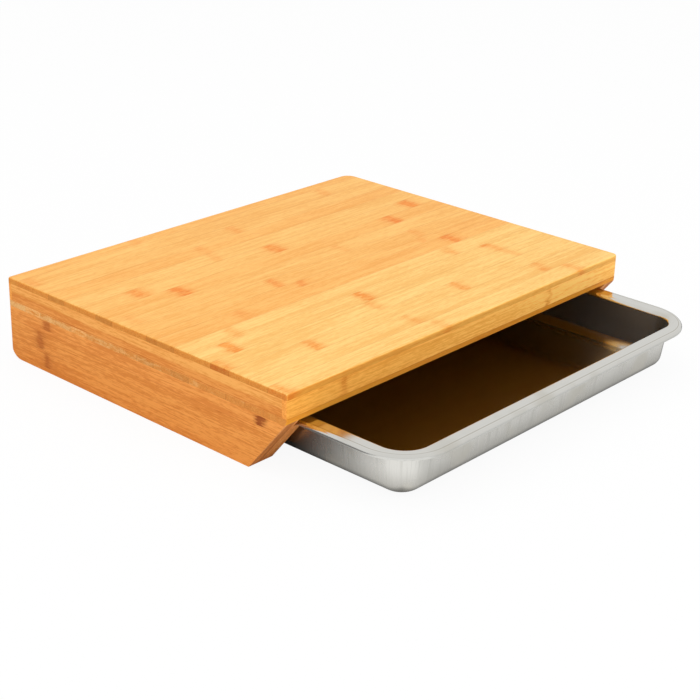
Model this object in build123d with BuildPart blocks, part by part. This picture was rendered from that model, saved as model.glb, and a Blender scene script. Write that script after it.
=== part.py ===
"""Laminated bamboo cutting board on two side rails, with one steel tray that slides under the plank.

Millimetres, +Z up, +X along the long front edge, front towards -Y. The board stands on z = 0, and the
origin is the centre of the footprint of the board together with its partly drawn tray.
"""
import os
from itertools import accumulate, pairwise
from math import radians, tan

from build123d import *

# ---- The board ------------------------------------------------------------------------------------
board_width = 355.0
board_depth = 275.0
left_corner_radius = 2.0  # plan radius of both left-hand corners
front_right_radius = 4.0
back_right_radius = 9.0
top_easing = 1.5  # rounded arris all round the work surface

# The plank is three plies thick.
top_ply = 4.2
core_ply = 12.6
bottom_ply = 4.4
bevel_depth = 1.4  # how far the bottom ply leans back at the front
lipping_thickness = 4.0  # strip that covers the end grain of the core

# The plies are bamboo strips glued edge to edge. Strips share a ply evenly, apart from the trimmed
# ones at its edges and a ripped one where the two panels of the top ply meet, counted from the front.
top_strip_count = 17
top_first_strip = 16.2
top_last_strip = 12.2
top_narrow_strip = 10.0
top_narrow_number = 8
bottom_strip_count = 16
bottom_first_strip = 19.5
bottom_last_strip = 18.9
core_strip_count = 18

# ---- The side rails and the back rail -------------------------------------------------------------
rail_height = 39.4
rail_thickness = 12.5  # outer board of each side rail
runner_thickness = 8.5  # inner board, lower by the groove that carries the tray
groove_height = 6.2
undercut = 32.7  # how far the rails' feet stand back behind the front edge
heel_radius = 11.0  # rounded lower corner at the back of each rail
back_rail_thickness = 9.0
back_rail_clearance = 3.0  # gap between the back rail and the table

# ---- The tray -------------------------------------------------------------------------------------
tray_depth = 265.0
sheet = 0.8
lip_drop = 3.2  # turned-down edge that rides on the runners
lip_radius = 2.2
flange_corner_radius = 37.0
body_inset = 11.5  # from the flange's edge to the body, at the rim
body_corner_radius = 19.0
wall_draft = 7.5  # degrees
floor_clearance = 2.5  # gap between the tray's floor and the table
floor_radius = 9.0
mouth_radius = 3.0  # bend between flange and wall

# ---- Fits and the pose of the photograph ----------------------------------------------------------
tray_side_clearance = 2.5
tray_seat_clearance = 0.2
tray_drawn_out = 84.0  # how far the tray stands out in front of the board

# ---- Places that follow from the sizes above ------------------------------------------------------
plank_thickness = top_ply + core_ply + bottom_ply
board_height = rail_height + plank_thickness
core_bottom = rail_height + bottom_ply
core_top = core_bottom + core_ply
board_front = (tray_drawn_out - board_depth) / 2
board_back = board_front + board_depth
half_width = board_width / 2
groove_half_width = half_width - rail_thickness
bay_half_width = groove_half_width - runner_thickness
runner_height = rail_height - groove_height
back_rail_face = board_back - back_rail_thickness

tray_width = 2 * (groove_half_width - tray_side_clearance)
rim_height = runner_height + tray_seat_clearance + lip_drop
tray_front = board_front - tray_drawn_out
tray_centre = tray_front + tray_depth / 2

os.makedirs("parts", exist_ok=True)


def save(piece, name):
    """Label a finished sub-part and write its STEP file."""
    piece.part.label = name
    export_step(piece.part, f"parts/{name}.step")


def strip_spans(low, high, count, odd_widths):
    """Limits of each strip of a ply from low to high, where odd_widths are the uneven ones by number."""
    shared_width = (high - low - sum(odd_widths.values())) / (count - len(odd_widths))
    numbers = range(1, count + 1)
    return pairwise(accumulate((odd_widths.get(n, shared_width) for n in numbers), initial=low))


def cut_piece(blank, name, x_span, y_span, z_span):
    """Cut the box between three pairs of limits out of a blank, and write it as one piece."""
    size = [span[1] - span[0] for span in (x_span, y_span, z_span)]
    with BuildPart() as piece:
        add(blank.part)
        with Locations((x_span[0], y_span[0], z_span[0])):
            Box(*size, align=Align.MIN, mode=Mode.INTERSECT)
    save(piece, name)
    return piece


# ---- The plank: the whole blank, then the strips that it is glued from ----------------------------
with BuildSketch() as board_outline:
    with Locations((0, (board_front + board_back) / 2)):
        Rectangle(board_width, board_depth)
    fillet(board_outline.vertices().group_by(Axis.X)[0], left_corner_radius)
    fillet(board_outline.vertices().group_by(Axis.X)[-1].sort_by(Axis.Y)[0], front_right_radius)
    fillet(board_outline.vertices().group_by(Axis.X)[-1].sort_by(Axis.Y)[-1], back_right_radius)

with BuildPart() as plank_blank:
    with BuildSketch(Plane.XY.offset(rail_height)):
        add(board_outline.sketch)
    extrude(amount=plank_thickness)
    fillet(plank_blank.faces().sort_by(Axis.Z)[-1].edges(), top_easing)
    with BuildSketch(Plane.YZ.offset(-half_width)):
        with BuildLine():
            Polyline(
                (board_front, rail_height),
                (board_front + bevel_depth, rail_height),
                (board_front, core_bottom),
                close=True,
            )
        make_face()
    extrude(amount=board_width, mode=Mode.SUBTRACT)

full_width = (-half_width, half_width)

top_odd_widths = {1: top_first_strip, top_narrow_number: top_narrow_strip, top_strip_count: top_last_strip}
top_spans = strip_spans(board_front, board_back, top_strip_count, top_odd_widths)
for number, span in enumerate(top_spans, start=1):
    cut_piece(plank_blank, f"top_strip_{number:02d}", full_width, span, (core_top, board_height))

bottom_odd_widths = {1: bottom_first_strip, bottom_strip_count: bottom_last_strip}
bottom_spans = strip_spans(board_front, board_back, bottom_strip_count, bottom_odd_widths)
for number, span in enumerate(bottom_spans, start=1):
    cut_piece(plank_blank, f"bottom_strip_{number:02d}", full_width, span, (rail_height, core_bottom))

core_layer = (core_bottom, core_top)
core_front = board_front + lipping_thickness
core_back = board_back - lipping_thickness
cut_piece(plank_blank, "front_lipping", full_width, (board_front, core_front), core_layer)
cut_piece(plank_blank, "back_lipping", full_width, (core_back, board_back), core_layer)

core_spans = strip_spans(-half_width, half_width, core_strip_count, {})
for number, span in enumerate(core_spans, start=1):
    cut_piece(plank_blank, f"core_strip_{number:02d}", span, (core_front, core_back), core_layer)

# ---- The rails: undercut at the front, rounded at the heel ----------------------------------------
with BuildPart() as rail_blank:
    with BuildSketch(Plane.YZ.offset(-half_width)) as rail_side:
        with BuildLine():
            Polyline(
                (board_front + bevel_depth, rail_height),
                (board_front + undercut, 0),
                (board_back, 0),
                (board_back, rail_height),
                close=True,
            )
        make_face()
        heel = rail_side.vertices().group_by(Axis.Y)[0].sort_by(Axis.X)[-1]
        fillet(heel, heel_radius)
    extrude(amount=board_width)
    with BuildSketch():
        add(board_outline.sketch)
    extrude(amount=rail_height, mode=Mode.INTERSECT)

full_depth = (board_front, board_back)
runner_depth = (board_front, back_rail_face)
for side, sign in (("left", -1), ("right", 1)):
    rail_span = sorted((sign * half_width, sign * groove_half_width))
    runner_span = sorted((sign * groove_half_width, sign * bay_half_width))
    cut_piece(rail_blank, f"{side}_rail", rail_span, full_depth, (0, rail_height))
    cut_piece(rail_blank, f"{side}_runner", runner_span, runner_depth, (0, runner_height))

with BuildPart() as back_rail:
    with Locations((-groove_half_width, back_rail_face, back_rail_clearance)):
        Box(
            2 * groove_half_width,
            back_rail_thickness,
            rail_height - back_rail_clearance,
            align=Align.MIN,
        )
save(back_rail, "back_rail")

# ---- The tray: one pressed sheet with a turned-down flange ----------------------------------------


def flange_plate(inset, top):
    """Plate from the foot of the lip up to a height, with a rounded upper arris."""
    with BuildPart() as plate:
        with BuildSketch(Plane.XY.offset(rim_height - lip_drop)):
            with Locations((0, tray_centre)):
                RectangleRounded(
                    tray_width - 2 * inset, tray_depth - 2 * inset, flange_corner_radius - inset
                )
        extrude(amount=top - rim_height + lip_drop)
        fillet(plate.faces().sort_by(Axis.Z)[-1].edges(), lip_radius - inset)
    return plate.part


def tray_pan(offset, top, bottom):
    """Drafted pan with a rounded floor, whose wall lies inside the body's outer face by offset."""
    drawn_in = body_inset + offset + (rim_height - top) * tan(radians(wall_draft))
    with BuildPart() as pan:
        with BuildSketch(Plane.XY.offset(top)):
            with Locations((0, tray_centre)):
                RectangleRounded(
                    tray_width - 2 * drawn_in,
                    tray_depth - 2 * drawn_in,
                    body_corner_radius + body_inset - drawn_in,
                )
        extrude(amount=bottom - top, taper=wall_draft)
        fillet(pan.faces().sort_by(Axis.Z)[0].edges(), floor_radius - offset)
    return pan.part


def mouth_edges(flange_faces):
    """The loop where the body's wall meets the one flange face that is pierced by it."""
    pierced = [face for face in flange_faces if face.inner_wires()]
    return pierced[0].inner_wires()[0].edges()


with BuildPart() as tray:
    add(flange_plate(0, rim_height))
    add(flange_plate(sheet, rim_height - sheet), mode=Mode.SUBTRACT)
    add(tray_pan(0, rim_height - sheet, floor_clearance))
    flange_underside = tray.faces().filter_by(Axis.Z).group_by(Axis.Z)[-2]
    fillet(mouth_edges(flange_underside), mouth_radius - sheet)
    add(tray_pan(sheet, rim_height, floor_clearance + sheet), mode=Mode.SUBTRACT)
    flange_top = tray.faces().sort_by(Axis.Z)[-1:]
    fillet(mouth_edges(flange_top), mouth_radius)
save(tray, "tray")
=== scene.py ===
"""Looks of the laminated bamboo cutting board and its steel tray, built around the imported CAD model.

Metres, +Z up, +X along the long front edge, front towards -Y. The board's strips, lippings and rails are
the CAD nodes with their own bamboo; the tray is a smooth pressed sheet that stands for its CAD node.
"""
from math import cos, degrees, pi, radians, sin

import bpy
import numpy as np
from bpy.props import FloatProperty, FloatVectorProperty, PointerProperty
from mathutils import Matrix, Vector


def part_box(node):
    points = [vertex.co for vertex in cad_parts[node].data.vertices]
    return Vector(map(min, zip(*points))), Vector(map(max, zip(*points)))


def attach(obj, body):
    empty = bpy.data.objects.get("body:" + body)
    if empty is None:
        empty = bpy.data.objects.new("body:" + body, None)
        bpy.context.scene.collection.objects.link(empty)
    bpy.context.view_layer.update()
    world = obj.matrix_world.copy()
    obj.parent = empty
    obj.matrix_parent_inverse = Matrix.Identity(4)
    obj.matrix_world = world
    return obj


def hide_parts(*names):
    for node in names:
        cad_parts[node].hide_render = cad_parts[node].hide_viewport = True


bl_info = {
    "name": "Bamboo cutting board with tray",
    "version": (1, 0, 0),
    "blender": (4, 5, 0),
    "location": "3D View > Sidebar > Cutting Board",
    "description": "Dresses the bamboo board and its steel tray, and sets up the studio around them",
    "category": "Object",
}

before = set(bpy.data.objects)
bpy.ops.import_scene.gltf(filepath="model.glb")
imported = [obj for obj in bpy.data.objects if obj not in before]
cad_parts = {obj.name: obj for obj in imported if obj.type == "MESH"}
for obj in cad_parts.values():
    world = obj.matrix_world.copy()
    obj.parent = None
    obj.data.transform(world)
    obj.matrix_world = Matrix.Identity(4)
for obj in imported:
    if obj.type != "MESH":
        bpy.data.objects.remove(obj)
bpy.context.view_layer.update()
MM = 0.001


# ---- Settings that a user would change --------------------------------------------------------------


def length(name, description, default):
    return FloatProperty(
        name=name, description=description, default=default, min=0.0, subtype="DISTANCE", unit="LENGTH"
    )


def angle(name, description, default):
    return FloatProperty(
        name=name, description=description, default=radians(default), subtype="ANGLE", unit="ROTATION"
    )


def share(name, description, default):
    return FloatProperty(
        name=name, description=description, default=default, min=0.0, max=1.0, subtype="FACTOR"
    )


def light_level(name, description, default):
    return FloatProperty(name=name, description=description, default=default, min=0.0)


def lamp_power(name, description, default):
    return FloatProperty(name=name, description=description, default=default, min=0.0, unit="POWER")


def colour(name, description, default):
    return FloatVectorProperty(
        name=name, description=description, default=default, min=0.0, max=1.0, size=3, subtype="COLOR"
    )


class StudioSettings(bpy.types.PropertyGroup):
    """Camera, floor and lights."""

    target: FloatVectorProperty(
        name="Target", description="Point that the camera looks at",
        default=(-0.0267, -0.0107, 0.01775), size=3, subtype="TRANSLATION", unit="LENGTH",
    )
    azimuth: angle("Azimuth", "Turn of the camera round the board, from straight in front", -48.289)
    elevation: angle("Elevation", "Height of the camera above the horizon", 23.459)
    roll: angle("Roll", "Turn of the camera about its own line of sight", 1.584)
    distance: length("Distance", "From the camera to the target", 1.1324)
    lens: FloatProperty(
        name="Lens", description="Focal length on a 36 mm sensor",
        default=82.53, min=1.0, subtype="DISTANCE_CAMERA", unit="CAMERA",
    )
    floor_colour: colour("Floor", "Colour of the table", (0.86, 0.86, 0.86))
    floor_size: length("Floor size", "Width and depth of the table", 8.0)
    whiteness: share("Whiteness", "How far the camera sees the table as plain white", 0.93)
    mirrored: share("Mirrored", "How much of the table that the steel shows is evenly lit", 0.8)
    # Painted light and shade on the table as the steel shows it: light at the tray's near corner and along
    # its front, and a painted shadow under its edge.
    corner_light_level: share("Corner level", "Brightness of that table at the tray's near corner", 1.0)
    front_level: share("Front level", "Brightness of that table along the tray's front", 0.70)
    foot_shadow_level: share("Foot level", "Brightness of that table under the tray's edge", 0.25)
    sky: share("Sky", "White of the surround in the steel", 0.78)
    surround: light_level("Surround", "Level of light from all round", 0.62)
    overhead_power: lamp_power("Overhead", "Large softbox above", 28.0)
    side_power: lamp_power("Side", "Softbox at the left front", 4.5)
    front_power: lamp_power("Front", "Softbox at the right front", 16.0)


class BambooSettings(bpy.types.PropertyGroup):
    """Colours and figure of the bamboo."""

    straw: colour("Straw", "Palest strips of the work surface", (0.89, 0.55, 0.165))
    honey: colour("Honey", "Deepest strips of the work surface", (0.87, 0.40, 0.088))
    golden: colour("Golden", "Lipping and sides of the top strips", (0.90, 0.42, 0.062))
    amber: colour("Amber", "Bottom ply, seen from the front", (0.86, 0.325, 0.023))
    russet: colour("Russet", "Core and rails", (0.80, 0.287, 0.050))
    end_brown: colour("End grain", "Sawn ends of the top strips", (0.75, 0.28, 0.040))
    end_orange: colour("Warm end grain", "Sawn ends of the bottom strips", (0.76, 0.285, 0.050))
    end_beige: colour("Pale end grain", "Patches on the bottom strips' sawn ends", (0.86, 0.45, 0.145))
    right_tint: FloatVectorProperty(
        name="Right tint", description="How the front edge pales towards the right",
        default=(1.12, 1.36, 1.95), size=3,
    )
    mark_tint: colour("Mark", "What the marks of the culm's joints let through", (0.93, 0.54, 0.24))
    edge_mark: colour("Edge mark", "What the marks on the lippings let through", (0.80, 0.62, 0.44))
    rail_mark: colour("Rail mark", "What the marks on the rails let through", (0.66, 0.52, 0.42))
    fibre_width: length("Fibre", "Width of one fibre bundle", 1.0 * MM)
    fibre_length: length("Fibre length", "Length of one fibre bundle", 34 * MM)
    seam_width: length("Seam", "Width of a glue line", 0.35 * MM)
    gloss: share("Roughness", "Roughness of the oiled surface", 0.48)


class TraySettings(bpy.types.PropertyGroup):
    """The pressed tray, in the sizes of its CAD node."""

    sheet: length("Sheet", "Thickness of the steel", 0.8 * MM)
    lip_drop: length("Lip", "Height of the turned-down edge", 3.2 * MM)
    lip_radius: length("Lip radius", "Bend between flange and lip", 2.2 * MM)
    flange_corner: length("Flange corner", "Plan radius of the flange", 37 * MM)
    body_inset: length("Body inset", "From the flange's edge to the body", 11.5 * MM)
    body_corner: length("Body corner", "Plan radius of the body at the rim", 19 * MM)
    draft: angle("Draft", "Lean of the walls", 7.5)
    floor_radius: length("Floor radius", "Outer bend between wall and floor", 9 * MM)
    mouth_radius: length("Mouth radius", "Upper bend between flange and wall", 3 * MM)
    crown: length("Crown", "How far the floor bulges, before its ripple", 0.33 * MM)
    steel: colour("Steel", "Colour of the stainless steel", (0.78, 0.77, 0.725))
    polish: share("Polish", "Roughness of the flange and the inside", 0.13)
    brushed: share("Brushed", "Roughness of the outer walls", 0.27)
    drawn: share("Drawn", "How much rougher the inner walls are than the floor", 0.20)
    crease: length("Crease", "From the flange's edge to the line where its lip begins to bend", 3.0 * MM)
    # Painted shade: a darker colour for the steel inside the tray, under the board.
    inside: colour("Inside", "Colour of the steel inside the tray", (0.54, 0.55, 0.53))


class BoardSettings(bpy.types.PropertyGroup):
    """All settings of the cutting board."""

    studio: PointerProperty(type=StudioSettings)
    bamboo: PointerProperty(type=BambooSettings)
    tray: PointerProperty(type=TraySettings)


def settings():
    """The settings of the open scene."""
    return bpy.context.scene.cutting_board


# ---- Helpers for objects, node trees and colours ----------------------------------------------------


def placed(name, data):
    """A new object in the scene, at the origin."""
    made = bpy.data.objects.new(name, data)
    bpy.context.scene.collection.objects.link(made)
    return made


class Tree:
    """Short words for the nodes and links of one node tree."""

    def __init__(self, tree):
        self.tree = tree

    def node(self, kind, inputs=None, **options):
        """A new node with its options set and its inputs fed."""
        made = self.tree.nodes.new(kind)
        for option, value in options.items():
            setattr(made, option, value)
        for key, value in (inputs or {}).items():
            self.feed(made.inputs[key], value)
        return made

    def feed(self, socket, value):
        """Link an input to another node's output, or set its value."""
        if isinstance(value, bpy.types.NodeSocket):
            self.tree.links.new(value, socket)
        else:
            socket.default_value = value

    def math(self, operation, *values):
        """The result of a Math node."""
        made = self.node("ShaderNodeMath", dict(enumerate(values)), operation=operation)
        return made.outputs[0]

    def product(self, first, *others):
        """All the values multiplied together."""
        for other in others:
            first = self.math("MULTIPLY", first, other)
        return first

    def vector(self, operation, *values):
        """The result of a Vector Math node."""
        made = self.node("ShaderNodeVectorMath", dict(enumerate(values)), operation=operation)
        return made.outputs["Value" if operation == "DOT_PRODUCT" else "Vector"]

    def noise(self, point, scale, seed, detail=2.0, roughness=0.5):
        """Noise on a point, with a frequency per metre for each axis."""
        stretched = self.vector("MULTIPLY", point, scale)
        made = self.node(
            "ShaderNodeTexNoise",
            {"Vector": stretched, "W": seed, "Scale": 1.0, "Detail": detail, "Roughness": roughness},
            noise_dimensions="4D",
        )
        return made.outputs[0]

    def ramp(self, value, start, end, low=0.0, high=1.0):
        """Smooth step from low at start to high at end."""
        made = self.node(
            "ShaderNodeMapRange",
            {"Value": value, "From Min": start, "From Max": end, "To Min": low, "To Max": high},
            interpolation_type="SMOOTHSTEP",
        )
        return made.outputs[0]

    def mix(self, factor, first, second, blend="MIX"):
        """Mix two colours. A Mix node's colours are its inputs 6 and 7 and its output 2."""
        made = self.node("ShaderNodeMix", data_type="RGBA", blend_type=blend)
        for key, value in ((0, factor), (6, first), (7, second)):
            self.feed(made.inputs[key], value)
        return made.outputs[2]


def paint(rgb):
    """The colour as a socket takes it, with an alpha of 1."""
    return (*rgb, 1.0)


def blended(first, second, amount):
    """The colour that lies a share of the way from one to another."""
    return tuple((1 - amount) * a + amount * b for a, b in zip(first, second))


def scaled(rgb, factor):
    """The colour with every channel times one factor."""
    return tuple(value * factor for value in rgb)


def tinted(rgb, tint):
    """The colour with each channel times the tint's."""
    return tuple(a * b for a, b in zip(rgb, tint))


def tint_from(start, goal):
    """The tint that turns one colour into another."""
    return tuple(b / a for a, b in zip(start, goal))


def empty_material(name):
    """A new material and its tree, with no nodes yet."""
    material = bpy.data.materials.new(name)
    material.use_nodes = True
    material.node_tree.nodes.clear()
    return material, Tree(material.node_tree)


def new_group(name, inputs, outputs):
    """A node group with float inputs and outputs, apart from inputs named Vector."""
    group = bpy.data.node_groups.new(name, "ShaderNodeTree")
    for socket in inputs:
        kind = "NodeSocketVector" if socket == "Vector" else "NodeSocketFloat"
        group.interface.new_socket(socket, in_out="INPUT", socket_type=kind)
    for socket in outputs:
        group.interface.new_socket(socket, in_out="OUTPUT", socket_type="NodeSocketFloat")
    tree = Tree(group)
    return tree, tree.node("NodeGroupInput").outputs, tree.node("NodeGroupOutput").inputs


# ---- Bamboo -----------------------------------------------------------------------------------------

# Grain space is (along the fibres, across them, through the strip), whichever way a piece lies.
GRAIN_ORDER = {"X": ("X", "Y", "Z"), "Y": ("Y", "X", "Z")}
AXES = {"X": (1.0, 0.0, 0.0), "Y": (0.0, 1.0, 0.0)}

# The noises of bamboo's figure: (length and width in fibre bundles, detail, roughness).
FIGURE = {
    "Fibre": (1.0, 1.0, 3.0, 0.65),
    "Fleck": (0.16, 0.75, 2.0, 0.6),
    "Streak": (5.0, 4.5, 2.0, 0.5),
    "Cloud": (2.5, 25.0, 1.0, 0.5),
    "Dash": (0.30, 0.6, 1.0, 0.5),
}
# How much each of them deepens the tone. The dashes have a tint instead, above a threshold.
FIGURE_WEIGHTS = {"Fibre": 2.3, "Fleck": 1.6, "Streak": 1.2, "Cloud": 0.7}
DASH_EDGE = (0.60, 0.72)
DASH_WEIGHT = 0.26
DASH_TINT = (0.80, 0.62, 0.44)

# A culm joint's mark: frequencies of its noises, per metre along and across the fibres, and how far two
# of them shift its edge. The rest are smooth steps, as (from, to, strength at each): the halo and the heart
# by their distance in half widths, and the heart's mottling by the levels of two noises.
MARK_RAGGED = (70.0, 1100.0, 1100.0)
MARK_SWIRL = (130.0, 170.0, 170.0)
MARK_MOTTLE = (260.0, 1500.0, 1500.0)
RAGGED_SHIFT = 7 * MM
SWIRL_SHIFT = 4 * MM
MARK_HALO = (2.6, 0.5, 0.0, 0.45)
MARK_HEART = (1.3, 0.3, 0.0, 0.60)
SWIRL_MOTTLING = (0.35, 0.60, 0.5, 1.2)
GRAIN_MOTTLING = (0.34, 0.62, 0.45, 1.35)

# What a piece's marks add to its seed, and half the width of a soft edge between two tones.
MARK_SEED = 7.3
SOFT_EDGE = 0.6 * MM

# Pores in sawn ends: frequencies per metre, the noise's levels between which they set in, and how dark.
PORE_SCALE = (300.0, 1500.0, 1500.0)
PORE_EDGE = (0.50, 0.68)
PORE_STRENGTH = 0.45
PORE_TINT = (0.62, 0.48, 0.36)
# A glue line's tint, and the share of its width that is darkest.
SEAM_TINT = (0.66, 0.44, 0.30)
SEAM_HEART = 0.2
# How much rougher the deepest fibres of the oiled surface are than the palest.
FIBRE_ROUGHNESS = 0.16


def figure_group():
    """Bamboo's figure in grain space: fine fibres, short flecks, broad streaks, soft clouds and dashes."""
    found = bpy.data.node_groups.get("bamboo_figure")
    if found:
        return found
    b = settings().bamboo
    tree, given, result = new_group("bamboo_figure", ("Vector", "Seed"), tuple(FIGURE))
    for part, (lengths, widths, detail, roughness) in FIGURE.items():
        along = 1 / (lengths * b.fibre_length)
        across = 1 / (widths * b.fibre_width)
        value = tree.noise(given["Vector"], (along, across, across), given["Seed"], detail, roughness)
        if part == "Dash":
            value = tree.ramp(value, *DASH_EDGE)
        tree.feed(result[part], value)
    return tree.tree


def mark_group():
    """Mark that a joint of the culm leaves: a ragged band across the fibres with a mottled darker heart."""
    found = bpy.data.node_groups.get("bamboo_mark")
    if found:
        return found
    tree, given, result = new_group(
        "bamboo_mark", ("Vector", "Seed", "Place", "Half width", "Lean", "Strength"), ("Mask",)
    )
    point, seed = given["Vector"], given["Seed"]
    parts = tree.node("ShaderNodeSeparateXYZ", {0: point}).outputs
    ragged = tree.noise(point, MARK_RAGGED, seed, detail=3.0, roughness=0.7)
    swirl = tree.noise(point, MARK_SWIRL, seed)
    grain = tree.noise(point, MARK_MOTTLE, seed, roughness=0.6)
    offset = tree.math("SUBTRACT", parts["X"], given["Place"])
    offset = tree.math("SUBTRACT", offset, tree.product(parts["Y"], given["Lean"]))
    for noise, shift in ((ragged, RAGGED_SHIFT), (swirl, SWIRL_SHIFT)):
        offset = tree.math("ADD", offset, tree.math("MULTIPLY_ADD", noise, 2 * shift, -shift))
    distance = tree.math("DIVIDE", tree.math("ABSOLUTE", offset), given["Half width"])
    halo = tree.ramp(distance, *MARK_HALO)
    heart = tree.ramp(distance, *MARK_HEART)
    mottled = tree.product(tree.ramp(swirl, *SWIRL_MOTTLING), tree.ramp(grain, *GRAIN_MOTTLING))
    mask = tree.product(tree.math("MULTIPLY_ADD", heart, mottled, halo), given["Strength"])
    tree.feed(result["Mask"], mask)
    return tree.tree


class Bamboo:
    """One piece's bamboo, put together step by step from its figure, marks, faces and seams."""

    def __init__(self, name, grain, tone, seed, contrast=1.4, spread=(0.05, 0.14, 0.27)):
        """Fibres along one axis, paler and deeper than the tone by a share of each channel. The seed is
        the piece's own, so that no two show the same figure."""
        self.material, self.tree = empty_material(name)
        self.seed = seed
        self.grain = grain
        t = self.tree
        coordinates = t.node("ShaderNodeTexCoord").outputs
        self.object_xyz = t.node("ShaderNodeSeparateXYZ", {0: coordinates["Object"]}).outputs
        self.normal = coordinates["Normal"]
        in_grain_order = {i: self.object_xyz[axis] for i, axis in enumerate(GRAIN_ORDER[grain])}
        self.space = t.node("ShaderNodeCombineXYZ", in_grain_order).outputs[0]
        given = {"Vector": self.space, "Seed": seed}
        self.figure = t.node("ShaderNodeGroup", given, node_tree=figure_group()).outputs
        depth = 0.5
        for part, weight in FIGURE_WEIGHTS.items():
            swing = t.math("SUBTRACT", self.figure[part], 0.5)
            depth = t.math("MULTIPLY_ADD", swing, weight * contrast, depth)
        pale = tuple(min(value * (1 + swing), 1.0) for value, swing in zip(tone, spread))
        deep = tuple(value * (1 - swing) for value, swing in zip(tone, spread))
        self.colour = t.mix(depth, paint(pale), paint(deep))
        self.multiply(t.product(self.figure["Dash"], DASH_WEIGHT * contrast), DASH_TINT)

    def multiply(self, factor, tint):
        """Multiply the colour by a tint, as far as the factor says."""
        self.colour = self.tree.mix(factor, self.colour, paint(tint), blend="MULTIPLY")

    def facing(self, axis, start=0.55, end=0.9):
        """How far a face looks along an axis, either way."""
        along = self.tree.math("ABSOLUTE", self.tree.vector("DOT_PRODUCT", self.normal, AXES[axis]))
        return self.tree.ramp(along, start, end)

    def face_tint(self, axis, tint):
        """Another tone on the faces that look along an axis."""
        self.multiply(self.facing(axis), tint)

    def ends(self, tint):
        """Sawn ends: pores instead of fibres, and another tone."""
        t = self.tree
        pores = t.noise(self.space, PORE_SCALE, self.seed, roughness=0.7)
        end = self.facing(self.grain)
        self.multiply(end, tint)
        self.multiply(t.product(end, t.ramp(pores, *PORE_EDGE, 0.0, PORE_STRENGTH)), PORE_TINT)

    def mark(self, place, strength, half_width, lean=0.0, window=None, tint=None):
        """A culm joint's mark. A window, where it has one, limits it to a stretch of the height."""
        t = self.tree
        given = {
            "Vector": self.space, "Seed": self.seed + MARK_SEED,
            "Place": place, "Half width": half_width, "Lean": lean, "Strength": strength,
        }
        mask = t.node("ShaderNodeGroup", given, node_tree=mark_group()).outputs[0]
        if window:
            low, high = window
            height = self.object_xyz["Z"]
            above_low = t.ramp(height, low - SOFT_EDGE, low + SOFT_EDGE)
            below_high = t.ramp(height, high + SOFT_EDGE, high - SOFT_EDGE)
            mask = t.product(mask, above_low, below_high)
        self.multiply(mask, tint or settings().bamboo.mark_tint)

    def seam(self, axis, place, strength):
        """A glue line: a thin dark line where the object's coordinate is at a place."""
        t = self.tree
        reach = settings().bamboo.seam_width
        gap = t.math("ABSOLUTE", t.math("SUBTRACT", self.object_xyz[axis], place))
        self.multiply(t.ramp(gap, reach, SEAM_HEART * reach, 0.0, strength), SEAM_TINT)

    def pale_to_right(self, left, right):
        """The front edge's tone, which pales from one place along X to another."""
        towards_right = self.tree.ramp(self.object_xyz["X"], left, right)
        self.multiply(self.tree.product(self.facing("Y"), towards_right), settings().bamboo.right_tint)

    def finish(self):
        """Oiled and sanded surface with the fibres just felt."""
        t = self.tree
        fibre = self.figure["Fibre"]
        smoothest = settings().bamboo.gloss - FIBRE_ROUGHNESS / 2
        rough = t.math("MULTIPLY_ADD", fibre, FIBRE_ROUGHNESS, smoothest)
        bump = t.node("ShaderNodeBump", {"Strength": 0.25, "Distance": 0.15 * MM, "Height": fibre})
        surface = {"Base Color": self.colour, "Roughness": rough, "Normal": bump.outputs[0]}
        shader = t.node("ShaderNodeBsdfPrincipled", {**surface, "Specular IOR Level": 0.2})
        t.node("ShaderNodeOutputMaterial", {"Surface": shader.outputs[0]})
        return self.material


def dress(node, material):
    """Give a CAD node its material."""
    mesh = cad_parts[node].data
    mesh.materials.clear()
    mesh.materials.append(material)


# Marks on the work surface, strip by strip from the front: (place along X in mm, strength, lean).
TOP_MARKS = {
    1: ((-173, 0.6, 0), (-24.5, 0.35, 0), (130, 0.5, 0)),
    2: ((-32, 0.35, 0), (127, 0.5, 0.2)),
    3: ((-111, 0.7, 0), (39, 0.7, 0)),
    4: ((-175, 0.6, 0), (-28, 0.45, 0.1), (122.5, 0.4, 0)),
    5: ((-152, 1.0, 0), (-24.5, 1.0, 0), (120, 0.8, 0)),
    6: ((-132.5, 0.5, 0.2), (91.6, 0.5, 0.2)),
    7: ((-107, 0.3, 0), (113.5, 0.7, 0)),
    8: ((-48, 0.6, 0.4), (94, 0.3, 0)),
    9: ((-54.5, 0.6, 0.1), (95, 0.3, 0.2)),
    10: ((-165.5, 0.25, 0), (36, 0.25, 0)),
    11: ((-108.5, 0.9, 0), (114, 0.9, 0)),
    12: ((-132.5, 0.7, 0), (-0.5, 0.85, 0), (154, 0.95, 0)),
    13: ((-66.5, 0.3, 0.2),),
    14: ((-41, 0.3, 0),),
    15: ((-21.5, 0.4, 0.2),),
    16: ((-171.5, 0.35, 0), (92.5, 0.4, 0.2)),
    17: ((-65, 0.3, 0),),
}
MARK_HALF_WIDTH = 3.8 * MM
WIDE_MARKS = {12: 5.5 * MM, 11: 5.0 * MM, 7: 5.0 * MM}
# How far each strip of the work surface leans from straw to honey.
TOP_TONES = (0.15, 0.2, 0.2, 0.15, 0.2, 0.25, 0.8, 0.75, 0.65, 0.6, 0.75, 0.55, 0.5, 0.8, 0.6, 0.6, 0.75)
# The side of the frontmost strip, against golden.
TOP_FRONT_TINT = (0.97, 0.93, 0.90)
# Strips of the top ply whose sawn ends are darker, and of the bottom ply whose ends are darker or paler.
DARK_TOP_ENDS = {4: 0.86, 7: 0.88, 8: 0.85, 11: 0.85, 14: 0.86}
BOTTOM_END_TONES = {6: 0.88, 8: 0.90, 12: 1.06, 15: 1.08}
USUAL_BOTTOM_END = 0.98
# Sawn ends of the core strips and the back rail, which other pieces cover.
HIDDEN_END_TINT = (0.8, 0.75, 0.7)

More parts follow.
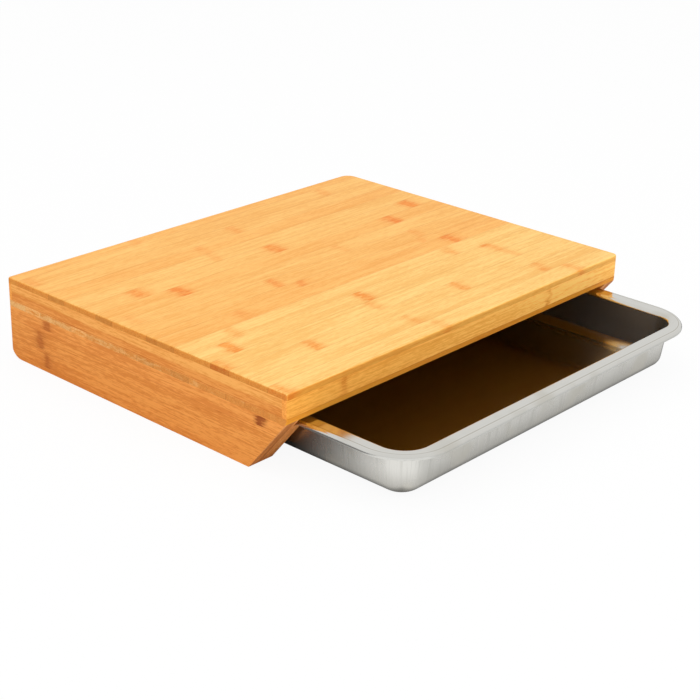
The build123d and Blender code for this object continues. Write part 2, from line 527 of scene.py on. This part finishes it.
# Patches on the bottom strips' sawn ends: frequencies per metre, the noise's levels between which they set
# in, and how far they are from orange to beige. From strip to strip towards the back, the levels fall by the
# first gain and the paleness grows by the second.
PATCH_SCALE = (40.0, 110.0, 420.0)
PATCH_EDGE = (0.58, 0.76)
PATCH_PALENESS = 0.35
PATCH_GAIN = 0.015
PALER_GAIN = 0.05

# The core strip on the left side, whose lower half is darker, and its glue line above the bottom ply.
OUTER_CORE_TINT = (1.12, 1.32, 1.56)
LOWER_CORE_TINT = (0.90, 0.77, 0.66)
CORE_SEAM_HEIGHT = 0.7 * MM

# Places along X, in mm, of the marks on the lippings.
LIPPING_MARKS = (-126.2, 90.0)
LIPPING_MARK_HALF_WIDTH = 2.4 * MM
LIPPING_TINT = (1.02, 0.95, 0.98)
LIPPING_END_TINT = (1.05, 0.95, 1.1)

# Marks and darker knots on the outer face of the left rail, in mm: (along Y from the board's front,
# strength, half width, lowest and highest height).
RAIL_MARKS = (
    (233.0, 1.0, 4.0, 32.0, 39.0),
    (240.5, 0.9, 4.2, 16.0, 29.0),
    (233.0, 0.8, 4.0, 3.0, 15.0),
)
RAIL_KNOTS = ((23.0, 1.5, 3.4, 32.0, 38.5),)
# Heights of the glue lines between a rail's strips, and the tint of all that lies above each, which sets
# in over a short step.
RAIL_SEAMS = ((15.5 * MM, (1.015, 1.04, 1.08)), (29.5 * MM, (1.03, 1.03, 1.08)))
RAIL_SEAM_STEP = 0.2 * MM
# The rails' sawn faces, and the stripes on them: frequencies per metre, the noise's levels between which
# they set in, and how dark.
SAWN_TINT = (1.02, 1.10, 1.60)
STRIPE_SCALE = (12.0, 260.0, 12.0)
STRIPE_EDGE = (0.40, 0.60)
STRIPE_STRENGTH = 0.85
STRIPE_TINT = (0.62, 0.50, 0.40)


def dress_top_strip(number, node):
    """A strip of the work surface: pale and flat-sawn above, golden on its side, brown at its ends."""
    b = settings().bamboo
    light = blended(b.straw, b.honey, TOP_TONES[number - 1])
    wood = Bamboo(node, "X", light, seed=number * 3.17)
    wood.face_tint("Y", tint_from(light, b.golden))
    wood.ends(tint_from(light, scaled(b.end_brown, DARK_TOP_ENDS.get(number, 1.0))))
    for place, strength, lean in TOP_MARKS[number]:
        wood.mark(place * MM, strength, WIDE_MARKS.get(number, MARK_HALF_WIDTH), lean)
    low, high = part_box(node)
    if number == 1:
        wood.face_tint("Y", TOP_FRONT_TINT)
        wood.pale_to_right(low.x, high.x)
    for place in (low.y, high.y):
        wood.seam("Y", place, strength=0.35)
    dress(node, wood.finish())


def dress_bottom_strip(number, node):
    """A strip of the bottom ply: amber along its side and orange at its sawn ends, with patches there that
    grow larger and paler from strip to strip towards the back."""
    b = settings().bamboo
    wood = Bamboo(node, "X", b.amber, seed=60 + number * 2.71)
    wood.ends(tint_from(b.amber, scaled(b.end_orange, BOTTOM_END_TONES.get(number, USUAL_BOTTOM_END))))
    t = wood.tree
    patches = t.noise(wood.space, PATCH_SCALE, seed=9.0, detail=3.0, roughness=0.7)
    patches = t.ramp(patches, *(level - PATCH_GAIN * number for level in PATCH_EDGE))
    paleness = min(PATCH_PALENESS + PALER_GAIN * number, 1.0)
    pale = blended(b.end_orange, b.end_beige, paleness)
    wood.multiply(t.product(patches, wood.facing("X")), tint_from(b.end_orange, pale))
    low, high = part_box(node)
    for place in (low.y, high.y):
        wood.seam("Y", place, strength=0.4)
    dress(node, wood.finish())


def dress_core_strip(number, node):
    """A strip of the core, whose fibres run from front to back. The first one shows on the left side."""
    b = settings().bamboo
    tone = tinted(b.russet, OUTER_CORE_TINT) if number == 1 else b.russet
    wood = Bamboo(node, "Y", tone, seed=120 + number * 1.93, contrast=2.4, spread=(0.08, 0.17, 0.32))
    low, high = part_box(node)
    if number == 1:
        middle = (low.z + high.z) / 2
        lower_half = wood.tree.ramp(wood.object_xyz["Z"], middle + SOFT_EDGE, middle - SOFT_EDGE)
        wood.multiply(lower_half, LOWER_CORE_TINT)
        wood.seam("Z", low.z + CORE_SEAM_HEIGHT, strength=0.6)
    wood.ends(HIDDEN_END_TINT)
    dress(node, wood.finish())


def dress_lipping(node, seed):
    """The lipping that covers the core's sawn ends, with two joint marks on its face."""
    b = settings().bamboo
    tone = tinted(b.golden, LIPPING_TINT)
    wood = Bamboo(node, "X", tone, seed=seed, contrast=2.0, spread=(0.08, 0.16, 0.30))
    for place in LIPPING_MARKS:
        wood.mark(place * MM, strength=0.85, half_width=LIPPING_MARK_HALF_WIDTH, tint=b.edge_mark)
    wood.ends(LIPPING_END_TINT)
    low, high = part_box(node)
    wood.pale_to_right(low.x, high.x)
    wood.seam("Z", low.z, strength=0.4)
    wood.seam("Z", high.z, strength=0.45)
    dress(node, wood.finish())


def dress_rail(node, seed):
    """A rail's outer board or runner: russet strips stacked three high, with darker stripes where sawn."""
    b = settings().bamboo
    wood = Bamboo(node, "Y", b.russet, seed=seed, contrast=2.3, spread=(0.10, 0.19, 0.32))
    t = wood.tree
    for height, tint in RAIL_SEAMS:
        above = t.ramp(wood.object_xyz["Z"], height - RAIL_SEAM_STEP, height + RAIL_SEAM_STEP)
        wood.multiply(above, tint)
        wood.seam("Z", height, strength=0.35)
    if node == "left_rail":
        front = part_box("top_strip_01")[0].y
        knot_tint = tinted(b.rail_mark, b.rail_mark)
        for marks, tint in ((RAIL_MARKS, b.rail_mark), (RAIL_KNOTS, knot_tint)):
            for place, strength, half_width, low, high in marks:
                window = (low * MM, high * MM)
                wood.mark(front + place * MM, strength, half_width * MM, window=window, tint=tint)
    stripes = t.noise(wood.space, STRIPE_SCALE, seed, detail=1.0)
    sawn = wood.facing("Y", start=0.45, end=0.75)
    wood.multiply(sawn, SAWN_TINT)
    wood.multiply(t.product(sawn, t.ramp(stripes, *STRIPE_EDGE, 0.0, STRIPE_STRENGTH)), STRIPE_TINT)
    dress(node, wood.finish())


# ---- Steel ------------------------------------------------------------------------------------------

# What the steel lets through where it was drawn, low down on the walls as painted shade, where it was
# handled, and along the flange's crease as a painted line of shade.
DRAWN_TINT = (0.86, 0.86, 0.85)
LOW_SHADE_TINT = (0.58, 0.57, 0.55)
HANDLED_TINT = (0.84, 0.82, 0.77)
CREASE_SHADE_TINT = (0.62, 0.58, 0.50)
# Frequencies of the steel's noises, per metre: round the tray and down its walls, or the same every way.
STREAK_SCALE = (1100.0, 28.0, 0.0)
SMEAR_SCALE = (160.0, 22.0, 0.0)
GRAIN_SCALE = (900.0, 900.0, 900.0)
SOFT_SCALE = (30.0, 30.0, 30.0)
# How much the roughness changes over soft patches, and over the smears down the outer walls.
SOFT_ROUGHNESS = 0.1
SMEAR_ROUGHNESS = 0.07
# Levels of the noises between which the drawn streaks and the handled patches set in, how strongly the
# patches and the crease's painted line of shade show, and how much the streaks and the fine grain raise the
# surface.
DRAWN_EDGE = (0.50, 0.38)
HANDLED_EDGE = (0.50, 0.66)
HANDLED_STRENGTH = 0.7
CREASE_SHADE_STRENGTH = 0.8
STREAK_RELIEF = 0.8
GRAIN_RELIEF = 0.12
# The inside's darker colour, painted shade inside the tray under the board, sets in between these depths
# below the rim, the painted shade low on the outer walls between these heights, and the crease's painted
# line of shade fades between these distances from its middle.
INSIDE_SHADE_FADE = (0.8 * MM, 3.5 * MM)
LOW_SHADE_FADE = (24 * MM, 2 * MM)
CREASE_SHADE_FADE = (0.5 * MM, 0.15 * MM)


def steel_material(rim):
    """Satin stainless steel: drawing streaks down the outer walls, with painted shade that darkens the outer
    walls towards the floor, a finer grain elsewhere, a painted line of shade along the flange's crease, and
    a darker colour inside, from just below the rim, that is painted shade inside the tray under the board."""
    s = settings().tray
    material, t = empty_material("satin_steel")
    coordinates = t.node("ShaderNodeTexCoord").outputs
    outside = t.node("ShaderNodeAttribute", attribute_name="outside").outputs["Fac"]
    not_outside = t.math("SUBTRACT", 1.0, outside)
    inset = t.node("ShaderNodeAttribute", attribute_name="inset").outputs["Fac"]
    normal = t.node("ShaderNodeSeparateXYZ", {0: coordinates["Normal"]}).outputs
    height = t.node("ShaderNodeSeparateXYZ", {0: coordinates["Object"]}).outputs["Z"]
    # Painted shade: the steel inside the tray, under the board, gets a darker colour from just below the
    # rim.
    within = t.product(not_outside, t.ramp(t.math("SUBTRACT", rim, height), *INSIDE_SHADE_FADE))
    upright = t.math("SUBTRACT", 1.0, t.math("ABSOLUTE", normal["Z"]))
    streaks = t.noise(coordinates["UV"], STREAK_SCALE, seed=1.5, detail=3.0, roughness=0.65)
    smears = t.noise(coordinates["UV"], SMEAR_SCALE, seed=4.1)
    grain = t.noise(coordinates["Object"], GRAIN_SCALE, seed=2.0)
    soft = t.noise(coordinates["Object"], SOFT_SCALE, seed=6.0)

    rough = t.math("MULTIPLY_ADD", outside, s.brushed - s.polish, s.polish - SOFT_ROUGHNESS / 2)
    rough = t.math("MULTIPLY_ADD", soft, SOFT_ROUGHNESS, rough)
    smeared = t.product(outside, SMEAR_ROUGHNESS, t.math("SUBTRACT", smears, 0.5))
    rough = t.math("ADD", rough, smeared)
    rough = t.math("MULTIPLY_ADD", t.product(within, upright), s.drawn, rough)

    drawn = t.math("MULTIPLY_ADD", streaks, 0.5, t.product(smears, 0.5))
    drawn = t.product(outside, t.ramp(drawn, *DRAWN_EDGE))
    # Painted shade: the outer walls darken towards the floor.
    low_shade = t.product(outside, t.ramp(height, *LOW_SHADE_FADE))
    handled = t.product(t.ramp(soft, *HANDLED_EDGE), HANDLED_STRENGTH)
    # Painted shade: a dark line along the crease where the flange's lip begins to bend.
    crease = t.ramp(t.math("ABSOLUTE", t.math("SUBTRACT", inset, s.crease)), *CREASE_SHADE_FADE)
    crease = t.product(crease, not_outside, CREASE_SHADE_STRENGTH)
    tone = paint(s.steel)
    for factor, tint in ((drawn, DRAWN_TINT), (low_shade, LOW_SHADE_TINT), (handled, HANDLED_TINT)):
        tone = t.mix(factor, tone, paint(tinted(s.steel, tint)))
    tone = t.mix(within, tone, paint(s.inside))
    tone = t.mix(crease, tone, paint(tinted(s.steel, CREASE_SHADE_TINT)))

    raised_streaks = t.product(streaks, outside, STREAK_RELIEF)
    relief = t.math("ADD", raised_streaks, t.product(grain, GRAIN_RELIEF))
    bump = t.node("ShaderNodeBump", {"Strength": 0.35, "Distance": 0.06 * MM, "Height": relief})
    surface = {"Base Color": tone, "Roughness": rough, "Normal": bump.outputs[0]}
    shader = t.node("ShaderNodeBsdfPrincipled", {**surface, "Metallic": 1.0})
    t.node("ShaderNodeOutputMaterial", {"Surface": shader.outputs[0]})
    return material


# ---- The tray's sheet -------------------------------------------------------------------------------


def arc(centre, radius, start, end, steps):
    """Points on a circle about centre, from one angle to another in degrees."""
    turn = np.radians(np.linspace(start, end, steps + 1))
    return np.column_stack((centre[0] + radius * np.cos(turn), centre[1] + radius * np.sin(turn)))


def wall_arc(face_inset, reach, height, rim, draft, side):
    """Centre of the bend of radius reach that touches the drafted wall line through (face_inset, rim)
    on one side of it, with the centre at a height: the point of the wall line, pushed off along the
    wall's normal until it lies at that height."""
    normal = np.array((cos(draft), sin(draft))) * side
    down = (rim + reach * normal[1] - height) / cos(draft)
    return face_inset + down * sin(draft) + reach * normal[0], height


def tray_profile(s, rim, floor):
    """Cross-section of the sheet as (inset from the flange's edge, height) from the middle of the
    underside round the lip to the middle of the floor, without its two ends, and whether each point
    lies outside.

    It is made of arcs joined by straight stretches: floor bend, mouth bend and lip bend, first with the
    radii of the outer skin, then round the lip's foot, then with those of the inner skin."""
    lean = degrees(s.draft)
    lip_centre = (s.lip_radius, rim - s.lip_radius)
    foot_centre = (s.sheet / 2, rim - s.lip_drop + s.sheet / 2)
    inner_inset = s.body_inset + s.sheet
    inner_floor = s.floor_radius - s.sheet
    bend_height = floor + s.floor_radius
    outer_bend = wall_arc(s.body_inset, s.floor_radius, bend_height, rim, s.draft, 1)
    inner_bend = wall_arc(inner_inset, inner_floor, bend_height, rim, s.draft, 1)
    mouth_height = rim - s.mouth_radius
    outer_mouth = wall_arc(s.body_inset, s.mouth_radius - s.sheet, mouth_height, rim, s.draft, -1)
    inner_mouth = wall_arc(inner_inset, s.mouth_radius, mouth_height, rim, s.draft, -1)
    outer = np.concatenate((
        arc(outer_bend, s.floor_radius, 270, 180 + lean, 14),
        arc(outer_mouth, s.mouth_radius - s.sheet, lean, 90, 8),
        arc(lip_centre, s.lip_radius - s.sheet, 90, 180, 8),
        arc(foot_centre, s.sheet / 2, 0, -180, 6),
    ))
    inner = np.concatenate((
        arc(lip_centre, s.lip_radius, 180, 90, 10),
        arc(inner_mouth, s.mouth_radius, 90, lean, 12),
        arc(inner_bend, inner_floor, 180 + lean, 270, 16),
    ))
    outside = np.concatenate((np.ones(len(outer)), np.zeros(len(inner))))
    return np.concatenate((outer, inner)), outside


def filled(profile, outside, longest, hold):
    """The same profile with every stretch longer than a limit divided evenly, and held by a point close
    to each of its two ends, so that flats stay flat under smooth shading. The point lies at the hold
    distance from the bend, or at a fifth of a short stretch."""
    points, marks = [profile[:1]], [outside[:1]]
    for start, end, mark in zip(profile, profile[1:], outside[1:]):
        span = np.linalg.norm(end - start)
        steps = max(1, int(np.ceil(span / longest)))
        shares = np.linspace(0, 1, steps + 1)[1:]
        if steps > 1:
            edge = min(hold / span, 0.2)
            shares = np.unique(np.concatenate(([edge, 1 - edge], shares)))
        points.append(start + shares[:, None] * (end - start))
        marks.append(np.full(len(shares), mark))
    return np.concatenate(points), np.concatenate(marks)


def rounded_loops(half_x, half_y, radius, corner_steps, side_steps):
    """Rounded rectangles, one row for each value of the three sizes: quarter circles about the corner
    centres, joined by evenly divided straight sides. Returns x and y with one column per point."""
    quarter = np.linspace(0, pi / 2, corner_steps + 1)
    turns = quarter[None, :] + (np.arange(4) * pi / 2)[:, None]
    signs = np.array(((1, 1), (-1, 1), (-1, -1), (1, -1)))
    reach_x = (half_x - radius)[:, None, None]
    reach_y = (half_y - radius)[:, None, None]
    x = signs[None, :, :1] * reach_x + radius[:, None, None] * np.cos(turns)
    y = signs[None, :, 1:] * reach_y + radius[:, None, None] * np.sin(turns)
    shares = np.linspace(0, 1, side_steps + 1)[1:-1]
    loops = []
    for values in (x, y):
        following = np.roll(values, -1, axis=1)[:, :, :1]
        sides = values[:, :, -1:] + shares * (following - values[:, :, -1:])
        loops.append(np.concatenate((values, sides), axis=2).reshape(len(radius), -1))
    return loops


# Loops that close the floor, the power by which it bulges, and its ripple: how much of the bulge it adds or
# takes, and its wave along X and along Y as (radians from the middle to the wall, phase).
FLOOR_RINGS = 13
CROWN_POWER = 1.5
RIPPLE_SHARE = 0.7
RIPPLE_X = (4.1, 0.6)
RIPPLE_Y = (3.3, -0.4)


def tray_surface(s, low, high):
    """The tray as a closed sheet: every profile point carried round a rounded rectangle.

    The rectangle's half sides are the flange's less the point's inset. Its corner radius falls from the
    flange's to the body's across the flange, and by the inset below it. The floor is closed by shrinking
    the innermost loop to the middle. It bulges by a power of the distance from its edge, and the bulge
    ripples by a sine along X times a cosine along Y."""
    profile, outside = tray_profile(s, high.z, low.z)
    profile, outside = filled(profile, outside, longest=4 * MM, hold=0.3 * MM)
    inset, height = profile[:, 0], profile[:, 1]
    half_x, half_y = (high.x - low.x) / 2, (high.y - low.y) / 2
    body_radius = s.body_corner + s.body_inset - inset
    bend_start = s.body_inset - s.mouth_radius
    over_flange = np.clip((inset - s.lip_radius) / (bend_start - s.lip_radius), 0, 1)
    flange_radius = s.flange_corner - inset
    radius = flange_radius + over_flange * (body_radius - flange_radius)
    x, y = rounded_loops(half_x - inset, half_y - inset, radius, corner_steps=24, side_steps=14)
    shrink = np.linspace(1, 0, FLOOR_RINGS + 2)[1:-1]
    around = len(x[0])

    def closing(loop_x, loop_y, level):
        return (
            shrink[:, None] * loop_x[None, :],
            shrink[:, None] * loop_y[None, :],
            np.full((len(shrink), around), level),
        )

    z = np.repeat(height[:, None], around, axis=1)
    below = [part[::-1] for part in closing(x[0], y[0], height[0])]
    inside = closing(x[-1], y[-1], height[-1])
    x, y, z = (np.concatenate(parts) for parts in zip(below, (x, y, z), inside))
    facts = {
        "outside": np.concatenate((np.ones(len(shrink)), outside, np.zeros(len(shrink)))),
        "inset": np.pad(inset, len(shrink), mode="edge"),
    }
    floor_x, floor_y = half_x - s.body_inset, half_y - s.body_inset
    within = np.clip(1 - np.maximum(abs(x) / floor_x, abs(y) / floor_y), 0, 1)
    fade = np.where(z < low.z + s.floor_radius, within ** CROWN_POWER, 0)
    wave_x = np.sin(RIPPLE_X[0] * x / floor_x + RIPPLE_X[1])
    wave_y = np.cos(RIPPLE_Y[0] * y / floor_y + RIPPLE_Y[1])
    z = z + s.crown * fade * (1 + RIPPLE_SHARE * wave_x * wave_y)
    centre = (low + high) / 2
    return x + centre.x, y + centre.y, z, facts


def sheet_mesh(name, x, y, z, facts):
    """A mesh from rows of loop points, closed by a point in the middle at both ends. Its UV map is in
    metres: round the outermost loop, and along the profile. Each fact has one value for each row, and
    becomes an attribute."""
    rows, around = x.shape
    grid = np.stack((x, y, z), axis=-1).reshape(-1, 3)
    poles = np.stack([grid[:around].mean(0), grid[-around:].mean(0)])
    vertices = np.concatenate((grid, poles))
    index = np.arange(rows * around).reshape(rows, around)
    following = np.roll(index, -1, axis=1)
    quads = np.stack((index[:-1], following[:-1], following[1:], index[1:]), axis=-1).reshape(-1, 4)
    first_fan = np.stack((np.full(around, rows * around), following[0], index[0]), axis=-1)
    last_fan = np.stack((np.full(around, rows * around + 1), index[-1], following[-1]), axis=-1)
    mesh = bpy.data.meshes.new(name)
    mesh.from_pydata(vertices.tolist(), [], [*quads.tolist(), *first_fan.tolist(), *last_fan.tolist()])
    # Lengths round the widest loop and down the first column, up to each point.
    widest = np.argmax(x.max(1))
    ring = np.stack((x[widest], y[widest]), axis=-1)
    steps = np.linalg.norm(np.roll(ring, -1, axis=0) - ring, axis=1)
    round_length = np.concatenate(([0], np.cumsum(steps)))
    column = np.stack((x[:, 0], y[:, 0], z[:, 0]), axis=-1)
    down = np.concatenate(([0], np.cumsum(np.linalg.norm(np.diff(column, axis=0), axis=1))))
    # Each quad spans two columns and two rows, and the fans stay on the first and the last row.
    columns, upper = np.arange(around), np.arange(rows - 1)
    quad_columns = np.stack((columns, columns + 1, columns + 1, columns), -1)
    quad_rows = np.stack((upper, upper, upper + 1, upper + 1), -1)
    quad_u = round_length[np.tile(quad_columns, (rows - 1, 1, 1))].reshape(-1)
    quad_v = down[np.repeat(quad_rows[:, None], around, axis=1)].reshape(-1)
    fan_u = round_length[np.repeat(columns, 3)]
    uv = np.concatenate((
        np.stack((quad_u, quad_v), -1),
        np.stack((fan_u, np.zeros(len(fan_u))), -1),
        np.stack((fan_u, np.full(len(fan_u), down[-1])), -1),
    ))
    layer = mesh.uv_layers.new(name="UVMap")
    layer.data.foreach_set("uv", uv.astype(np.float32).ravel())
    for fact, values in facts.items():
        attribute = mesh.attributes.new(fact, "FLOAT", "POINT")
        spread = np.concatenate((np.repeat(values, around), (values[0], values[-1])))
        attribute.data.foreach_set("value", spread.astype(np.float32))
    mesh.polygons.foreach_set("use_smooth", np.ones(len(mesh.polygons), bool))
    mesh.update()
    return mesh


# ---- Studio -----------------------------------------------------------------------------------------

# Painted light and shade on the table, as the steel shows it. Its brightness changes with the distance from
# the tray's near left corner: along the tray's left side it falls from the corner's painted light to none,
# painted shade beside the tray, and along the front it reaches the front's level. About the pan's foot it
# falls to the foot's level, a painted shadow, from outside the tray's edge to under it.
SIDE_SHADE_FADE = (28 * MM, 116 * MM)
FRONT_FADE = (22 * MM, 66 * MM)
FOOT_INSET = 16 * MM
FOOT_SHADOW_FADE = (-6 * MM, 8 * MM)

# Softboxes: (name, place, side, the setting that holds its power).
SOFTBOXES = (
    ("overhead_softbox", (-0.5, 0.1, 1.9), 3.0, "overhead_power"),
    ("side_softbox", (-1.3, -1.5, 1.1), 1.2, "side_power"),
    ("front_softbox", (0.7, -2.0, 0.8), 2.2, "front_power"),
)


def seen_directly(t, direct, mirrored):
    """One value for what the camera sees, another for what metal and glass show, and 0 for the light."""
    path = t.node("ShaderNodeLightPath").outputs
    reflected = t.math("MAXIMUM", path["Is Glossy Ray"], path["Is Transmission Ray"])
    seen = t.product(path["Is Camera Ray"], direct)
    shown = t.product(reflected, mirrored)
    return t.math("MAXIMUM", seen, shown)


def floor_material(s):
    """Pale table that the camera sees as nearly white, with the object's shadow on it. In reflections it
    shows
    painted light and shade: bright at the tray's near corner, less so along its front, and dark beside it
    and under its edge."""
    material, t = empty_material("pale_table")
    plain = t.node("ShaderNodeBsdfDiffuse", {"Color": paint(s.floor_colour)})
    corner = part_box("tray")[0]
    place = t.node("ShaderNodeSeparateXYZ", {0: t.node("ShaderNodeTexCoord").outputs["Object"]}).outputs
    right = t.math("SUBTRACT", place["X"], corner.x)
    back = t.math("SUBTRACT", place["Y"], corner.y)
    # Painted light and shade in the reflected table: from the corner's light to shade beside the tray, and
    # towards the front's level.
    along_side = t.ramp(back, *SIDE_SHADE_FADE, s.corner_light_level, 0.0)
    mirrored = t.ramp(right, *FRONT_FADE, along_side, s.front_level)
    outwards = t.math("SUBTRACT", FOOT_INSET, t.math("MINIMUM", right, back))
    # Painted shadow: the reflected table darkens under the tray's edge.
    mirrored = t.product(mirrored, t.ramp(outwards, *FOOT_SHADOW_FADE, s.foot_shadow_level, 1.0))
    brightness = seen_directly(t, 1.0, mirrored)
    even = t.node("ShaderNodeEmission", {"Color": (1, 1, 1, 1), "Strength": brightness})
    share_of_even = seen_directly(t, s.whiteness, s.mirrored)
    mixed = t.node("ShaderNodeMixShader", {0: share_of_even, 1: plain.outputs[0], 2: even.outputs[0]})
    t.node("ShaderNodeOutputMaterial", {"Surface": mixed.outputs[0]})
    return material


def white_surround(s):
    """World that lights softly from all round, white to the camera and a little darker in reflections."""
    world = bpy.data.worlds.new("studio_surround")
    bpy.context.scene.world = world
    world.use_nodes = True
    world.node_tree.nodes.clear()
    t = Tree(world.node_tree)
    strength = t.math("MAXIMUM", seen_directly(t, 1.0, s.sky), s.surround)
    background = t.node("ShaderNodeBackground", {"Color": (1, 1, 1, 1), "Strength": strength})
    t.node("ShaderNodeOutputWorld", {"Surface": background.outputs[0]})


def softbox(name, place, side, power):
    """A square area light at a place, turned to the object. The steel shows the white surround instead."""
    lamp = bpy.data.lights.new(name, "AREA")
    lamp.shape, lamp.size, lamp.energy = "SQUARE", side, power
    made = placed(name, lamp)
    made.location = place
    made.rotation_euler = (-Vector(place)).to_track_quat("-Z", "Y").to_euler()
    made.visible_glossy = False


def camera_matrix(s):
    """The camera looks back along the line at its azimuth and elevation, turned by its roll."""
    a, e = s.azimuth, s.elevation
    back = Vector((sin(a) * cos(e), -cos(a) * cos(e), sin(e)))
    level = Vector((0, 0, 1)).cross(back).normalized()
    upright = back.cross(level)
    right = level * cos(s.roll) + upright * sin(s.roll)
    up = upright * cos(s.roll) - level * sin(s.roll)
    turned = Matrix((right, up, back)).transposed().to_4x4()
    return Matrix.Translation(Vector(s.target) + back * s.distance) @ turned


# ---- Operators --------------------------------------------------------------------------------------


def numbered(prefix):
    """The CAD nodes of one ply, with their numbers."""
    nodes = sorted(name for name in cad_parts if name.startswith(prefix))
    if not nodes:
        raise RuntimeError(f"the frame has no nodes named {prefix}...")
    return enumerate(nodes, start=1)


class CUTTINGBOARD_OT_top_strips(bpy.types.Operator):
    """Give each strip of the work surface its own bamboo"""

    bl_idname = "cutting_board.top_strips"
    bl_label = "Work surface"

    def execute(self, context):
        for number, node in numbered("top_strip_"):
            dress_top_strip(number, node)
        return {"FINISHED"}


class CUTTINGBOARD_OT_core_and_bottom(bpy.types.Operator):
    """Give the strips of the core and the bottom ply their bamboo"""

    bl_idname = "cutting_board.core_and_bottom"
    bl_label = "Core and bottom ply"

    def execute(self, context):
        for number, node in numbered("core_strip_"):
            dress_core_strip(number, node)
        for number, node in numbered("bottom_strip_"):
            dress_bottom_strip(number, node)
        return {"FINISHED"}


class CUTTINGBOARD_OT_lippings(bpy.types.Operator):
    """Give the front and back lippings their bamboo"""

    bl_idname = "cutting_board.lippings"
    bl_label = "Lippings"

    def execute(self, context):
        for number, node in enumerate(("front_lipping", "back_lipping")):
            dress_lipping(node, seed=200 + 5.5 * number)
        return {"FINISHED"}


class CUTTINGBOARD_OT_rails(bpy.types.Operator):
    """Give the rails, their runners and the back rail their bamboo"""

    bl_idname = "cutting_board.rails"
    bl_label = "Rails"

    def execute(self, context):
        for number, node in enumerate(("left_rail", "left_runner", "right_rail", "right_runner")):
            dress_rail(node, seed=300 + 4.4 * number)
        b = settings().bamboo
        back = Bamboo("back_rail", "X", b.russet, seed=340)
        back.ends(HIDDEN_END_TINT)
        dress("back_rail", back.finish())
        return {"FINISHED"}


class CUTTINGBOARD_OT_tray(bpy.types.Operator):
    """Press the steel tray out of one sheet"""

    bl_idname = "cutting_board.tray"
    bl_label = "Tray"

    def execute(self, context):
        low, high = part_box("tray")
        mesh = sheet_mesh("pressed_tray", *tray_surface(settings().tray, low, high))
        mesh.materials.append(steel_material(high.z))
        tray = placed("pressed_tray", mesh)
        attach(tray, "tray")
        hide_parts("tray")
        return {"FINISHED"}


class CUTTINGBOARD_OT_studio(bpy.types.Operator):
    """Set up the table, the soft light and the camera"""

    bl_idname = "cutting_board.studio"
    bl_label = "Studio"

    def execute(self, context):
        s = settings().studio
        half = s.floor_size / 2
        mesh = bpy.data.meshes.new("table")
        corners = ((-half, -half, 0), (half, -half, 0), (half, half, 0), (-half, half, 0))
        mesh.from_pydata(corners, [], [(0, 1, 2, 3)])
        mesh.materials.append(floor_material(s))
        table = placed("table", mesh)
        white_surround(s)
        for name, place, side, power in SOFTBOXES:
            softbox(name, place, side, getattr(s, power))
        camera_data = bpy.data.cameras.new("camera")
        camera_data.lens = s.lens
        camera = placed("camera", camera_data)
        camera.matrix_world = camera_matrix(s)
        context.scene.camera = camera
        context.scene.view_settings.view_transform = "Standard"
        return {"FINISHED"}


class CUTTINGBOARD_PT_panel(bpy.types.Panel):
    """Steps and settings of the cutting board"""

    bl_label = "Cutting Board"
    bl_idname = "CUTTINGBOARD_PT_panel"
    bl_space_type = "VIEW_3D"
    bl_region_type = "UI"
    bl_category = "Cutting Board"

    def draw(self, context):
        for operator in OPERATORS:
            self.layout.operator(operator.bl_idname)
        for group in ("studio", "bamboo", "tray"):
            box = self.layout.box()
            values = getattr(settings(), group)
            for prop in values.bl_rna.properties:
                if not prop.is_readonly and prop.identifier != "name":
                    box.prop(values, prop.identifier)


# ---- Registering and running ------------------------------------------------------------------------

OPERATORS = (
    CUTTINGBOARD_OT_studio,
    CUTTINGBOARD_OT_top_strips,
    CUTTINGBOARD_OT_core_and_bottom,
    CUTTINGBOARD_OT_lippings,
    CUTTINGBOARD_OT_rails,
    CUTTINGBOARD_OT_tray,
)
SETTINGS = (StudioSettings, BambooSettings, TraySettings, BoardSettings)
CLASSES = (*SETTINGS, *OPERATORS, CUTTINGBOARD_PT_panel)


def register():
    for cls in CLASSES:
        bpy.utils.register_class(cls)
    bpy.types.Scene.cutting_board = PointerProperty(type=BoardSettings)


def unregister():
    del bpy.types.Scene.cutting_board
    for cls in reversed(CLASSES):
        bpy.utils.unregister_class(cls)


def main():
    """Build the whole scene."""
    register()
    bpy.ops.cutting_board.studio()
    bpy.ops.cutting_board.top_strips()
    bpy.ops.cutting_board.core_and_bottom()
    bpy.ops.cutting_board.lippings()
    bpy.ops.cutting_board.rails()
    bpy.ops.cutting_board.tray()


if __name__ == "__main__":
    main()
